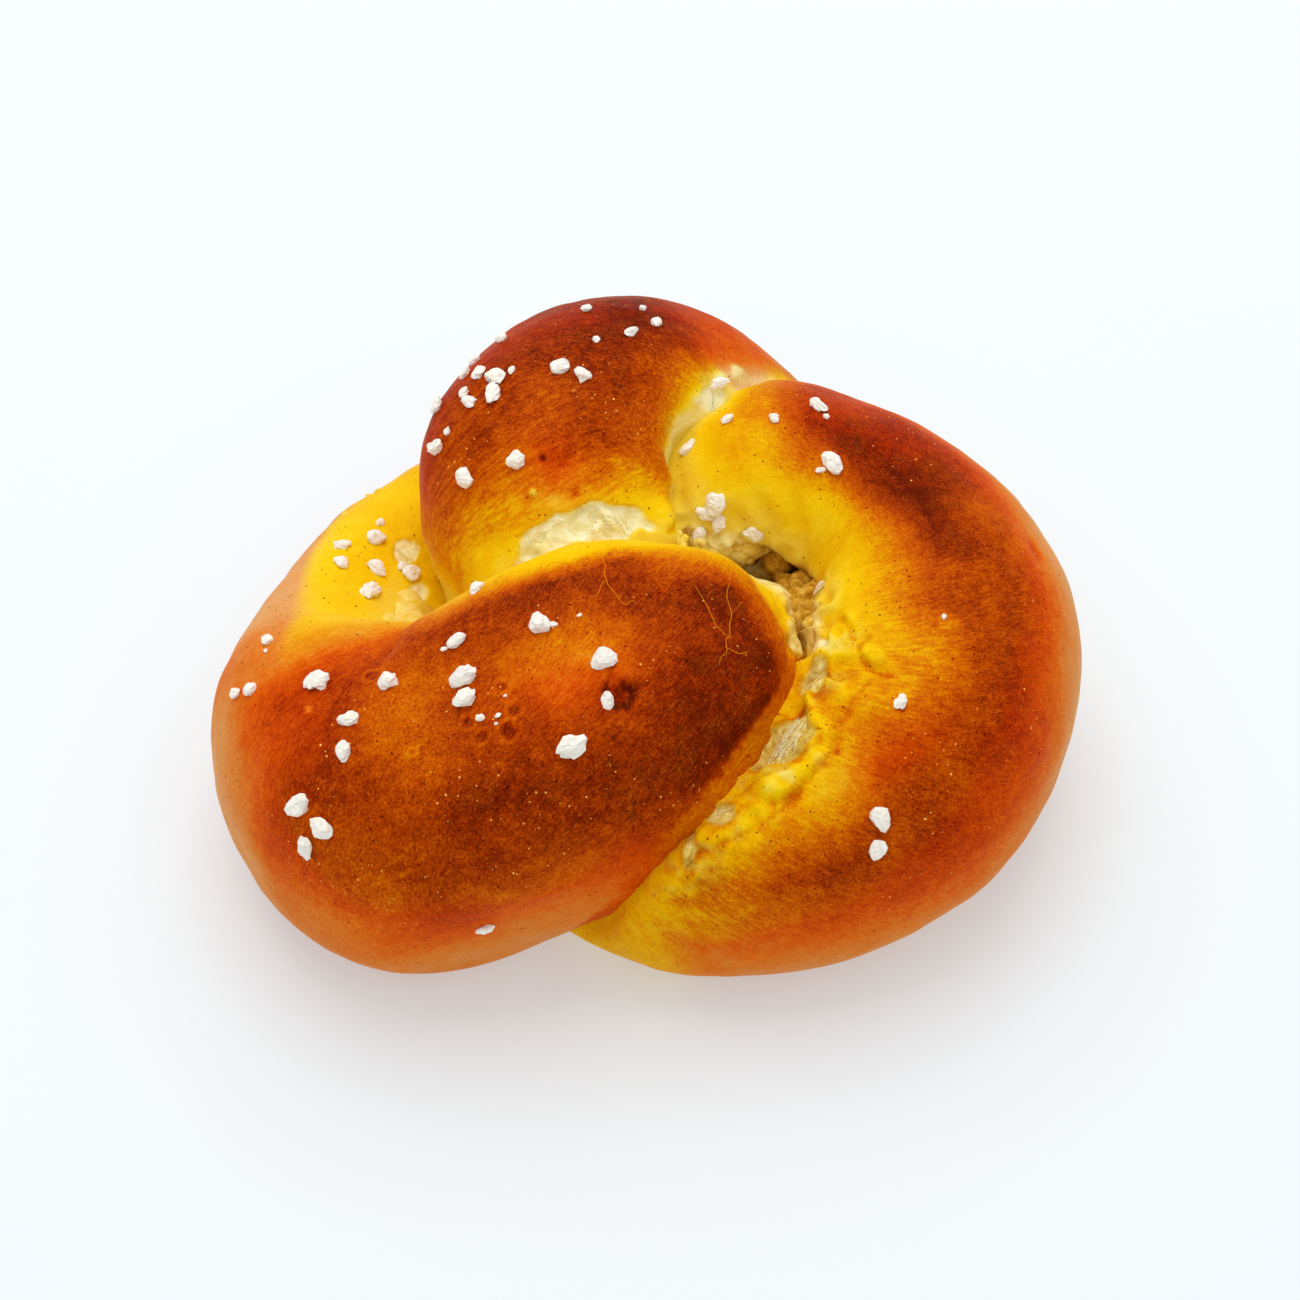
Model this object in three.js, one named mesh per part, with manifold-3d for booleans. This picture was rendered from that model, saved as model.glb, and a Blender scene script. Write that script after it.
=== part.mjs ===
// A baked knot roll: one fat rope of milk dough tied in an overhand knot, so that three plump bends lie
// round the middle and each bend's far end rides over the start of the next. The bends fuse as they bake.
//
// Millimetres, +Z up. The origin is on the table under the middle of the roll. +X is to the right and -Y
// is the side of the long front bend. The roll rests on the flat that its base bakes to on the tray.
import * as THREE from "three";
import { mergeVertices } from "three/addons/utils/BufferGeometryUtils.js";
import Module from "manifold-3d";

// The rope from its hidden tail to its hidden head:
// [x, y, z of its middle line, half its width, half its height].
const ROPE = [
  [-8, 26, 9, 10, 11], // tail, under the back bend
  [-21, 30, 9.5, 11, 11.5],
  [-31.5, 19, 10.5, 11, 12], // thin strand up the left side
  [-36.5, 3, 13, 14, 15],
  [-36.5, -11.5, 15, 18.5, 18],
  [-28, -22, 17, 21, 20], // fattest, at the front left
  [-11, -19.5, 22, 20.5, 19.5],
  [2, -13.5, 23.5, 19.5, 17.5], // over the start of the right bend
  [9, -7, 18.5, 15, 14],
  [10.5, 4, 11, 12, 11], // down through the middle
  [14, 22, 14, 16, 16], // under the end of the right bend
  [7, 31.5, 18.5, 17.5, 18.5],
  [-3.5, 30.5, 24, 18.5, 20],
  [-11.5, 19.5, 28.5, 17.5, 19], // highest, over the thin strand
  [-11.5, 8.5, 25, 16.5, 16.5],
  [-9, -3, 16, 14, 13],
  [-10, -17, 12, 14, 13], // under the front bend
  [3, -25, 13, 15.5, 16],
  [18, -23.5, 15.5, 18.5, 18],
  [31, -14, 17.5, 19.5, 19],
  [35, 1, 18.5, 19.5, 19.5], // farthest right
  [29, 14, 20.5, 17, 18],
  [15, 20, 22.5, 16, 17.5], // over the start of the back bend
  [3, 15.5, 17.5, 14, 15],
  [-12, 6, 11.5, 13, 13], // head, tucked into the middle
];

// First and last row of each bend. Neighbours share a stretch that lies hidden inside the knot.
const BENDS = {
  front: [0, 9.5],
  back: [8.5, 16],
  right: [14.5, 24],
};

// Dough that has proofed together under the middle of the knot and settled on the tray: a low dome.
const CORE = { x: -4, y: 3, halfLength: 28, halfWidth: 25, height: 26 };

const PLUMPNESS = 2.2; // superellipse exponent of the section's upper half: 2 is round, more is squarer
const BASE_SQUARENESS = 2.6; // the same for its lower half, where the dough has settled on the tray
const SQUEEZE = 0.8; // how near the inside of a bend may come to its centre of curvature
const RINGS_PER_ROW = 8; // sections from one row of the rope to the next
const AROUND = 32; // points round each section
const CURVATURE_REACH = 0.75; // rows of rope to either side over which the curvature is taken
const CORE_SEGMENTS = 28; // facets round the dome of the core
const TRAY_ROOM = 400; // side of the space above the tray

// A smooth line through one triple of numbers from each row, read by row number.
function throughRows(triple) {
  const points = ROPE.map((row) => new THREE.Vector3(...triple(row)));
  const curve = new THREE.CatmullRomCurve3(points, false, "catmullrom");
  return {
    at: (row) => curve.getPoint(row / (ROPE.length - 1)),
    heading: (row) => curve.getTangent(row / (ROPE.length - 1)),
  };
}

const middle = throughRows(([x, y, z]) => [x, y, z]);
const halves = throughRows(([, , , width, height]) => [width, height, 0]);

// How sharply the rope turns towards `side` at a row.
function curvature(row, side) {
  const before = Math.max(0, row - CURVATURE_REACH);
  const after = Math.min(ROPE.length - 1, row + CURVATURE_REACH);
  const turn = middle.heading(after).sub(middle.heading(before));
  return turn.dot(side) / middle.at(after).distanceTo(middle.at(before));
}

// How far a rounded end has swelled to the full section, a distance `run` in from the tip: a quarter ellipse.
function endSwell(run, cap) {
  const left = 1 - Math.min(1, run / cap);
  return Math.sqrt(1 - left * left);
}

// The ring of points round the rope at a row. The inner side of a bend is crowded, so it is squeezed flatter.
function ringAt(row, swell) {
  const centre = middle.at(row);
  const heading = middle.heading(row);
  const side = heading.clone().cross(new THREE.Vector3(0, 0, 1)).normalize();
  const up = side.clone().cross(heading);
  const half = halves.at(row);
  const turn = curvature(row, side);
  return Array.from({ length: AROUND }, (_, j) => {
    const angle = (2 * Math.PI * j) / AROUND;
    const [c, s] = [Math.cos(angle), Math.sin(angle)];
    const power = s < 0 ? BASE_SQUARENESS : PLUMPNESS;
    const reach = swell * (Math.abs(c) ** power + Math.abs(s) ** power) ** (-1 / power);
    const across = half.x * reach * c;
    const crowding = Math.max(0, across * turn) / SQUEEZE;
    return centre
      .clone()
      .addScaledVector(side, across / (1 + crowding ** 4) ** 0.25)
      .addScaledVector(up, half.y * reach * s);
  });
}

// One bend as a closed solid: rings carried along the rope, closed by a point at each rounded tip.
function bendSolid(wasm, [first, last]) {
  const steps = Math.round((last - first) * RINGS_PER_ROW);
  const rows = Array.from({ length: steps + 1 }, (_, i) => first + i / RINGS_PER_ROW);
  const runs = [0];
  for (let i = 1; i <= steps; i += 1) {
    runs.push(runs[i - 1] + middle.at(rows[i]).distanceTo(middle.at(rows[i - 1])));
  }
  const [firstCap, lastCap] = [halves.at(first).x, halves.at(last).x];
  const points = [];
  for (let i = 1; i < steps; i += 1) {
    points.push(...ringAt(rows[i], endSwell(runs[i], firstCap) * endSwell(runs[steps] - runs[i], lastCap)));
  }
  const firstTip = points.push(middle.at(first)) - 1;
  const lastTip = points.push(middle.at(last)) - 1;
  const lastRing = (steps - 2) * AROUND;
  const faces = [];
  for (let j = 0; j < AROUND; j += 1) {
    const k = (j + 1) % AROUND;
    for (let ring = 0; ring < lastRing; ring += AROUND) {
      const [a, b] = [ring + j, ring + k];
      faces.push(a, a + AROUND, b, b, a + AROUND, b + AROUND);
    }
    faces.push(firstTip, j, k, lastTip, lastRing + k, lastRing + j);
  }
  const vertProperties = new Float32Array(points.flatMap((p) => p.toArray()));
  return new wasm.Manifold(new wasm.Mesh({ numProp: 3, vertProperties, triVerts: new Uint32Array(faces) }));
}

// A three.js geometry as a manifold-3d solid.
function solidOf(wasm, shape) {
  shape.deleteAttribute("normal");
  shape.deleteAttribute("uv");
  const merged = mergeVertices(shape);
  const vertProperties = new Float32Array(merged.attributes.position.array);
  return new wasm.Manifold(
    new wasm.Mesh({ numProp: 3, vertProperties, triVerts: new Uint32Array(merged.index.array) }),
  );
}

// The settled dough under the middle of the knot.
function coreSolid(wasm) {
  const dome = new THREE.SphereGeometry(1, CORE_SEGMENTS, CORE_SEGMENTS / 2).rotateX(Math.PI / 2);
  dome.scale(CORE.halfLength, CORE.halfWidth, CORE.height).translate(CORE.x, CORE.y, 0);
  return solidOf(wasm, dome);
}

// The space above the tray, which the underside of the roll is cut flat by.
function aboveTray(wasm) {
  return solidOf(wasm, new THREE.BoxGeometry(TRAY_ROOM, TRAY_ROOM, TRAY_ROOM).translate(0, 0, TRAY_ROOM / 2));
}

const wasm = await Module();
wasm.setup();

const bends = Object.values(BENDS).map((rows) => bendSolid(wasm, rows));
const fused = bends.reduce((whole, bend) => whole.add(bend), coreSolid(wasm)).intersect(aboveTray(wasm));
const made = fused.getMesh();

const geometry = new THREE.BufferGeometry();
geometry.setAttribute("position", new THREE.BufferAttribute(made.vertProperties, 3));
geometry.setIndex(new THREE.BufferAttribute(made.triVerts, 1));
geometry.computeBoundingBox();
const centre = geometry.boundingBox.getCenter(new THREE.Vector3());
geometry.translate(-centre.x, -centre.y, 0);
geometry.computeVertexNormals();

const crust = new THREE.MeshStandardMaterial({ color: "#a9500e", roughness: 0.45, metalness: 0 });
const knot = new THREE.Mesh(geometry, crust);
knot.name = "knot";

const roll = new THREE.Group();
roll.add(knot);

export default roll;
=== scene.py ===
import bpy
import numpy as np
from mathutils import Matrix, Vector


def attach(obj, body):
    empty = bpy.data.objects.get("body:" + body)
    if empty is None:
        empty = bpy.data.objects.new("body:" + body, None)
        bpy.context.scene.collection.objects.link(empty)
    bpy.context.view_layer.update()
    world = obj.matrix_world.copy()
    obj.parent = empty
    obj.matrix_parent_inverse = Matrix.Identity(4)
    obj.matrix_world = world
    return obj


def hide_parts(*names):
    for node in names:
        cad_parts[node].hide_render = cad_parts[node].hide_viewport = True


MM = 0.001
ELEVATION = np.radians(50)  # how steeply the camera looks down
CAMERA_AWAY = 330 * MM
CAMERA_AIM = Vector((0, -5.5, 20.5)) * MM
LENS = 72  # focal length in mm

camera = bpy.data.objects.new("camera", bpy.data.cameras.new("camera"))
bpy.context.scene.collection.objects.link(camera)
bpy.context.scene.camera = camera
camera.data.lens = LENS
back_off = Vector((0, -np.cos(ELEVATION), np.sin(ELEVATION)))
camera.location = CAMERA_AIM + back_off * CAMERA_AWAY
camera.rotation_euler = (-back_off).to_track_quat("-Z", "Y").to_euler()

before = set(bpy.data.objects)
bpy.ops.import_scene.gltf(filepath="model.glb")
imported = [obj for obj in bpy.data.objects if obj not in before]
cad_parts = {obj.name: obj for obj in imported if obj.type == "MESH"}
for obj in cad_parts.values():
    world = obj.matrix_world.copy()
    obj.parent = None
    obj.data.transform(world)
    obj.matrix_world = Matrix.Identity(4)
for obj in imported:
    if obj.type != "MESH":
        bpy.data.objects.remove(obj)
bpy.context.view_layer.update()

# ---- The rope of dough ---------------------------------------------------------------------------------
# One rope, rolled thick in its middle and thin at its tail, laid in an overhand knot. Each row gives the
# place of its middle line and half its width and height. The three bends are stretches of it whose ends lie
# hidden.

ROPE = np.array([  # x, y, z, half width, half height, in mm
    (-8, 26, 9, 10, 11), (-21, 30, 9.5, 11, 11.5), (-31.5, 19, 10.5, 11, 12), (-36.5, 3, 13, 14, 15),
    (-36.5, -11.5, 15, 18.5, 18), (-28, -22, 17, 21, 20), (-11, -19.5, 22, 20.5, 19.5),
    (2, -13.5, 23.5, 19.5, 17.5), (9, -7, 18.5, 15, 14), (10.5, 4, 11, 12, 11), (14, 22, 14, 16, 16),
    (7, 31.5, 18.5, 17.5, 18.5), (-3.5, 30.5, 24, 18.5, 20), (-11.5, 19.5, 28.5, 17.5, 19),
    (-11.5, 8.5, 25, 16.5, 16.5), (-9, -3, 16, 14, 13), (-10, -17, 12, 14, 13), (3, -25, 13, 15.5, 16),
    (18, -23.5, 15.5, 18.5, 18), (31, -14, 17.5, 19.5, 19), (35, 1, 18.5, 19.5, 19.5),
    (29, 14, 20.5, 17, 18), (15, 20, 22.5, 16, 17.5), (3, 15.5, 17.5, 14, 15), (-12, 6, 11.5, 13, 13),
])
BENDS = {"front": (0, 9.5), "back": (8.5, 16), "right": (14.5, 24)}  # first and last row of each
PLUMPNESS = 2.2  # superellipse exponent of the section's upper half
BASE_SQUARENESS = 2.6  # and of its lower half, which has settled on the tray
SQUEEZE = 0.8  # how near the inside of a bend may come to its centre of curvature
CURVATURE_REACH = 0.75  # rows to either side over which the rope's turn is measured
ALONG, AROUND = 440, 216  # grid of each bend: steps along it and round it
TOP_DENSITY = 0.35  # how much finer the steps round it are on top than underneath


def through_rows(at):
    """Catmull-Rom curve through the rope's rows: each stretch is a cubic whose slopes at its two ends are
    half the difference of the rows before and after that end. Returns the row values and their slopes."""
    rows = np.vstack([2 * ROPE[0] - ROPE[1], ROPE, 2 * ROPE[-1] - ROPE[-2]])
    i = np.clip(np.floor(at).astype(int), 0, len(ROPE) - 2)
    u = (at - i)[:, None]
    p, q = rows[i + 1], rows[i + 2]
    m, n = (q - rows[i]) / 2, (rows[i + 3] - p) / 2
    start = (2 * u**3 - 3 * u**2 + 1) * p + (u**3 - 2 * u**2 + u) * m
    value = start + (3 * u**2 - 2 * u**3) * q + (u**3 - u**2) * n
    slope = (6 * u**2 - 6 * u) * (p - q) + (3 * u**2 - 4 * u + 1) * m + (3 * u**2 - 2 * u) * n
    return value, slope


def unit(vectors):
    """Vectors divided by their own length."""
    return vectors / np.maximum(np.linalg.norm(vectors, axis=-1, keepdims=True), 1e-9)


def rope_at(at):
    """Middle line, sideways and upward directions, half sizes, and the turn towards the side: the change of
    heading over CURVATURE_REACH rows to either side, divided by the distance between them."""
    value, slope = through_rows(at)
    heading = unit(slope[:, :3])
    side = unit(np.cross(heading, (0, 0, 1)))
    before, slope_before = through_rows(np.maximum(at - CURVATURE_REACH, 0))
    after, slope_after = through_rows(np.minimum(at + CURVATURE_REACH, len(ROPE) - 1))
    change = unit(slope_after[:, :3]) - unit(slope_before[:, :3])
    apart = np.linalg.norm(after[:, :3] - before[:, :3], axis=1)
    return value[:, :3], side, np.cross(side, heading), value[:, 3:], (change * side).sum(1) / apart


def bend_at(at):
    """The rope over one bend, its half sizes shrinking to nothing at each end as a quarter ellipse: sqrt(1 -
    (1 - distance / cap)^2) within a half width of the end."""
    middle, side, up, half, turn = rope_at(at)
    run = np.concatenate([[0], np.cumsum(np.linalg.norm(np.diff(middle, axis=0), axis=1))])
    shrink = np.ones(len(at))
    for distance, cap in ((run, half[0, 0]), (run[-1] - run, half[-1, 0])):
        shrink *= np.sqrt(1 - (1 - np.minimum(1, distance / cap)) ** 2)
    return middle, side, up, half * shrink[:, None], turn


def bend_surface(first, last):
    """Points of one bend on a grid. Each section is a superellipse, (across/width)^n + (rise/height)^n = 1,
    and its inner side is pressed in as across / (1 + (across * turn / SQUEEZE)^4)^(1/4). Returns the points,
    their row numbers, their angles in degrees round the section (90 is on top), and the two tips."""
    at = np.linspace(first, last, ALONG + 2)
    middle, side, up, half, turn = bend_at(at)
    spin = np.linspace(0, 2 * np.pi, AROUND, endpoint=False)
    angle = spin + TOP_DENSITY * np.cos(spin)
    c, s = np.cos(angle), np.sin(angle)
    power = np.where(s < 0, BASE_SQUARENESS, PLUMPNESS)
    reach = (np.abs(c) ** power + np.abs(s) ** power) ** (-1 / power)
    across = half[:, 0, None] * reach * c
    rise = half[:, 1, None] * reach * s
    crowding = np.maximum(across * turn[:, None], 0) / SQUEEZE
    across = across / (1 + crowding**4) ** 0.25
    points = middle[:, None] + side[:, None] * across[..., None] + up[:, None] * rise[..., None]
    degrees = (np.degrees(angle) + 90) % 360 - 90
    inner = slice(1, -1)  # the first and last rings have shrunk to the two tips
    rows, angles = np.broadcast_arrays(at[inner, None], degrees[None])
    return points[inner], rows, angles, middle[[0, -1]]


surfaces = {name: bend_surface(*rows) for name, rows in BENDS.items()}
everything = np.concatenate([points.reshape(-1, 3) for points, *_ in surfaces.values()])
MIDDLE = (everything.min(0) + everything.max(0)) / 2 * (1, 1, 0)  # the knot stands centred on its own origin


def ramp(x, low, high):
    """0 below low, 1 above high, and 3t^2 - 2t^3 between them."""
    t = np.clip((x - low) / (high - low), 0, 1)
    return t * t * (3 - 2 * t)


def bell(x, centre, width):
    """A bell curve: exp(-((x - centre) / width)^2)."""
    return np.exp(-(((x - centre) / width) ** 2))


CHANCES = 4096  # random numbers that each lattice draws on: a power of two
SCATTER = (73856093, 19349663, 83492791)  # large primes that send neighbouring cells far apart among them
OCTAVE_SHIFT = 31.7  # cells between the octaves' lattices, so that they don't line up


def lumps(points, size, seed, octaves=1):
    """Smooth random values from -1 to 1: random numbers on a lattice of the given size in mm, joined by
    quintic fades, with each further octave half as large and half as strong."""
    table = np.random.default_rng(seed).uniform(-1, 1, CHANCES)
    total = 0
    for octave in range(octaves):
        p = points * (2**octave / size) + OCTAVE_SHIFT * octave
        cell = np.floor(p).astype(np.int64)
        f = p - cell
        f = f**3 * (f * (f * 6 - 15) + 10)
        value = 0
        for corner in np.ndindex(2, 2, 2):
            x, y, z = (cell[..., axis] + corner[axis] for axis in range(3))
            u, v, w = (np.abs(1 - corner[axis] - f[..., axis]) for axis in range(3))
            key = x * SCATTER[0] ^ y * SCATTER[1] ^ z * SCATTER[2]
            value = value + table[key & (CHANCES - 1)] * (u * v * w)
        total = total + value / 2**octave
    return total


SECTIONS = 150  # sections of a bend among which the nearest to a point is sought
TIGHTEST = 0.97  # the most crowding that is undone, as a share of SQUEEZE


def gap_to(points, first, last):
    """Rough signed distance in mm from each point to the skin of a bend: in the frame of the nearest
    section, (r - 1) / r times the distance from its middle, where r is the point's superellipse radius."""
    middle, side, up, half, turn = (part[1:-1] for part in bend_at(np.linspace(first, last, SECTIONS)))
    flat = points.reshape(-1, 3)
    squared = (flat**2).sum(1)[:, None] + (middle**2).sum(1) - 2 * flat @ middle.T
    k = squared.argmin(1)
    offset = flat - middle[k]
    across, rise = (offset * side[k]).sum(1), (offset * up[k]).sum(1)
    ahead = (offset * np.cross(up[k], side[k])).sum(1)
    crowding = np.clip(across * turn[k], 0, TIGHTEST * SQUEEZE) / SQUEEZE
    across = across / (1 - crowding**4) ** 0.25
    power = np.where(rise < 0, BASE_SQUARENESS, PLUMPNESS)
    r = ((np.abs(across) / half[k, 0]) ** power + (np.abs(rise) / half[k, 1]) ** power
         + (np.abs(ahead) / half[k, 0]) ** power) ** (1 / power)
    return ((r - 1) / np.maximum(r, 0.05) * np.linalg.norm(offset, axis=1)).reshape(points.shape[:-1])


def to_seam(points, gap):
    """Signed distance in mm from each point of a grid to the line where another bend meets it, which runs
    where the gap changes sign between neighbours: negative where the point lies inside the other bend."""
    outside = gap > 0
    crossing = outside != np.roll(outside, 1, 1)
    crossing[1:] |= outside[1:] != outside[:-1]
    line = points[crossing][::2].astype(np.float32)  # every other point of the line is close enough
    nearest = [  # in 16 batches, to spare memory
        np.sqrt(np.maximum((part**2).sum(1)[:, None] + (line**2).sum(1) - 2 * part @ line.T, 0).min(1))
        for part in np.array_split(points.reshape(-1, 3).astype(np.float32), 16)
    ]
    return np.where(outside, 1, -1) * np.concatenate(nearest).reshape(gap.shape)


# ---- Crust of the three bends --------------------------------------------------------------------------
# The skin of the dough, brushed with egg before baking. The oven browns what faces up and out, what lies in
# the folds stays yellow, and where the skin tore as the dough rose the pale crumb under it shows.

# Round the outer rims, near 0 degrees on the front and right bends, the bake drops to a pale tan: partly the
# crust's own paler side and partly a painted reflection of the pale room at grazing angles.
BAKE_ANGLES = (-60, -30, 0, 30, 45, 60, 90, 110, 118, 125, 150, 180)
BAKE = {  # row of the rope: bake at each of BAKE_ANGLES round the section, 0 pale and raw, 1 deep brown
    "front": {
        1: (.50, .50, .45, .38, .38, .35, .30, .23, .21, .19, .15, .10),
        2: (.50, .50, .44, .36, .30, .28, .28, .16, .14, .13, .12, .10),
        3: (.50, .42, .34, .28, .22, .23, .29, .15, .13, .12, .10, .10),
        3.5: (.50, .42, .34, .28, .22, .23, .25, .18, .17, .17, .14, .12),
        3.8: (.50, .50, .42, .44, .42, .34, .24, .23, .22, .22, .20, .18),
        4.1: (.47, .38, .22, .28, .46, .42, .38, .36, .36, .36, .34, .30),
        4.5: (.43, .38, .26, .44, .64, .74, .70, .62, .58, .62, .52, .45),
        4.8: (.40, .38, .44, .74, .78, .80, .84, .74, .71, .68, .58, .50),
        5.3: (.30, .34, .60, .86, .84, .76, .70, .74, .64, .52, .42, .40),
        5.8: (.30, .34, .54, .88, .91, .84, .74, .82, .50, .32, .30, .30),
        6.3: (.30, .34, .58, .92, .92, .84, .77, .89, .36, .26, .24, .20),
        6.8: (.38, .36, .58, .92, .91, .93, .91, .82, .28, .24, .22, .20),
        7.2: (.36, .36, .56, .86, .90, .99, .93, .44, .24, .20, .20, .20),
        7.45: (.30, .35, .42, .56, .62, .70, .66, .24, .26, .28, .20, .20),
        7.65: (.20, .30, .36, .44, .48, .50, .26, .20, .20, .20, .12, .10),
        8.2: (.15, .15, .20, .20, .21, .22, .22, .20, .17, .15, .10, .10),
    },
    "back": {
        10: (.40, .40, .45, .50, .50, .50, .40, .27, .22, .18, .10, .10),
        11: (.45, .45, .55, .65, .62, .52, .40, .25, .19, .14, .08, .05),
        11.6: (.45, .50, .60, .68, .71, .70, .62, .32, .25, .18, .08, .05),
        12.2: (.45, .50, .50, .68, .80, .92, .92, .80, .62, .48, .18, .05),
        12.8: (.45, .50, .50, .74, .78, .84, .90, .82, .82, .76, .50, .10),
        13.3: (.45, .50, .50, .80, .82, .84, .71, .80, .77, .70, .58, .30),
        13.6: (.40, .45, .55, .66, .64, .67, .58, .56, .52, .48, .42, .20),
        13.8: (.35, .40, .48, .61, .52, .48, .36, .32, .30, .29, .26, .15),
        14.1: (.20, .25, .36, .47, .34, .26, .20, .19, .18, .18, .20, .10),
        15: (.10, .10, .10, .10, .10, .10, .10, .10, .10, .10, .10, .10),
    },
    "right": {
        16: (.20, .20, .20, .15, .12, .10, .10, .10, .10, .10, .10, .10),
        17: (.42, .40, .45, .36, .31, .26, .20, .13, .11, .10, .10, .10),
        17.5: (.28, .30, .46, .66, .48, .26, .24, .18, .16, .14, .10, .10),
        18: (.28, .30, .54, .82, .66, .34, .28, .23, .20, .18, .10, .10),
        18.5: (.28, .28, .52, .80, .82, .69, .38, .26, .23, .20, .12, .10),
        19: (.38, .34, .38, .68, .82, .78, .44, .33, .27, .22, .14, .10),
        19.6: (.38, .32, .20, .34, .60, .80, .81, .41, .32, .25, .18, .10),
        20.2: (.38, .32, .18, .22, .36, .70, .93, .54, .40, .28, .20, .12),
        20.8: (.38, .32, .20, .24, .42, .76, .95, .66, .44, .36, .22, .12),
        21.3: (.38, .36, .26, .32, .50, .80, .94, .66, .44, .28, .24, .15),
        21.7: (.42, .45, .42, .52, .64, .76, .84, .66, .50, .30, .22, .12),
        22: (.35, .40, .42, .44, .49, .54, .46, .40, .33, .27, .20, .10),
        22.4: (.20, .25, .28, .30, .30, .30, .24, .21, .20, .19, .14, .10),
        23: (.10, .10, .10, .10, .10, .10, .10, .10, .10, .10, .10, .10),
    },
}
FLUSHED = {  # patches that the glaze left redder: (row, angle, half length, half width, in mm)
    "front": ((4.35, 80, 6, 12), (6.2, 75, 10, 4.5), (4.7, 55, 6, 6)),
    "back": ((13.5, 90, 5, 4), (11.9, 92, 5, 3)),
    "right": ((21.3, 80, 7, 4), (18.5, 60, 7, 2.5)),
}
FLUSHED_BAND = {  # the redder band where the browning pales towards the tray: rows, and its angles there
    "front": (
        (1, 2, 3, 3.7, 3.95, 4.15, 4.57, 4.79, 4.98, 5.3, 5.83, 6.2),
        (15, 32, 50, 62, 58, 53, 42, 26, 10, 0, 5, 6),
    ),
    "back": ((11.2, 11.7, 12.2, 12.55, 12.96, 13.14, 13.4), (98, 98, 92, 76, 50, 34, 24)),
    "right": ((17.3, 18.1, 18.7, 19, 19.4, 20.06, 20.97, 21.4, 21.7), (-3, 14, 32, 40, 46, 49, 59, 75, 80)),
}
SPOTS = {  # small marks in the browning: (row, angle, half length, half width in mm, change of bake)
    "front": (
        (6.43, 66, 1.5, 1.2, .25), (6.3, 80, 8, 5, -.30), (5.78, 69, 3.5, 2, .05), (7.05, 40, 4, 2.5, .06),
    ),
    "back": (
        (13.49, 86, .5, .4, .5), (13.48, 90, 1.6, 1.4, .10), (13.72, 96, .6, .6, .3),
        (12.9, 114, .7, .6, .10), (12.95, 112, 3, 2.6, .06), (13.1, 107, 3, 2.4, .05),
    ),
    "right": (
        (20.15, 48, 1.8, 1.0, .25), (18.93, 88, .8, 1.6, .14), (21.35, 100, 6, 3, .08),
        (18.23, 72, .5, .5, .4), (18.68, 74, .6, .5, .3),
    ),
}
SEAMS = {  # skin, bend it meets: dip and its width in mm, bake there and over how many mm, raggedness
    ("front", "right"): (0.3, 1.0, 0.60, 0.7, 0.1),
    # The front skin's seam bake by the back bend, 0.29, is browner than a pale seam for the shade along that
    # fold: partly painted shade.
    ("front", "back"): (-0.4, 2.4, 0.29, 3.2, 0.5),
    ("back", "front"): (0.9, 1.6, 0.16, 3.0, 0.8),
    ("back", "right"): (0.5, 1.4, 0.10, 1.8, 0.8),
    ("right", "back"): (1.0, 1.8, 0.18, 2.6, 0.8),
    ("right", "front"): (2.6, 1.5, 0.34, 0.8, 0.9),
}
TEARS = {  # holes that show the crumb: (row, angle, half length, half width, slant, depth in mm, bake)
    "front": ((3.0, 124, 6, 2.6, 0, .5, .0), (2.46, 103, 2.4, 1.8, 0, .4, .12)),
    "back": (
        (12.07, 131, 1.8, 2.6, 0, .3, -.12), (13.93, 108, 2.2, 5.2, 6, .6, -.05),
        (13.97, 88, 1.9, 4.8, 30, .5, -.05), (14.13, 70, 1.5, 4.2, 40, .4, .02),
    ),
    "right": (
        (17.96, 87, 4.2, 3.8, 0, .9, .28), (18.42, 108, 2.4, 2.8, 0, .7, .24),
        (17.46, 62, 2.2, 1.6, 0, .6, .24), (17.25, 44, 1.0, 2.4, 0, .4, .3), (18.72, 120, .9, 2.0, 0, .3, .1),
    ),
}
LUMPS = {  # bumps and hollows: (row, angle, half length, half width, height, in mm)
    "front": (
        (2.75, 112, 14, 7, -2.6), (3.25, 128, 8, 5, -1.8), (2.3, 38, 15, 10, 1.5), (3.95, 70, 10, 9, .7),
        (4.3, 120, 8, 7, .6), (4.61, 68, .7, .7, .25), (5.4, -20, 10, 9, -2.7), (4.3, 28, 7, 7, -.7),
        (6.5, 122, 16, 9, 3.9), (7.45, 108, 6, 5, 1.2), (7.15, 30, 12, 7, -1.8), (7.75, 55, 6, 6, -1.8),
        (7.4, 45, 8, 7, -.6), (6.7, 12, 10, 7, -.4), (6.43, 67, 1.8, 1.5, -.5), (6.5, 70, 1.2, .8, .4),
    ),
    "back": (
        (13.95, 138, 3.5, 2.0, 1.6), (13.68, 79, .5, .5, .35), (13.81, 86, .5, .5, .3),
        (13.72, 96, .6, .6, -.2), (13.0, 66, 9, 7, .1), (12.3, 86, 8, 7, .5), (13.2, 36, 8, 7, 1.0),
        (13.55, 100, 7, 10, -.5), (10.9, 49, 9, 7, -1.0), (14.2, 18, 5, 5, -1.8),
    ),
    "right": (
        (17.1, -20, 8, 8, .8), (18.8, 5, 7, 7, .5), (20.3, 48, 7, 6, -.5), (20.27, 94, .8, .5, .3),
        (21.01, 86, 1.2, .8, .35), (17.85, 65, .9, .7, .4), (17.67, 62, 1.0, .8, .45), (20.15, 48, 2, 1, -.4),
        (21.6, 52, 7, 6, -1.0), (22.55, 136, 4, 6, -1.0), (22.15, 146, 2.5, 3, -1.0),
        (18.1, 71, 2.2, 1.6, .6), (18.55, 82, 2.0, 1.6, .6), (18.75, 108, 2.4, 2.4, .6),
        (19.1, 118, 2.4, 3, .5), (19.45, 112, 2.6, 2, .4), (18.4, 92, 2.4, 1.6, .7),
        (18.15, 84, 1.6, 1.3, .6), (17.75, 70, 1.6, 1.2, .5), (17.5, 52, 2, 1.4, .5),
    ),
}
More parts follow.
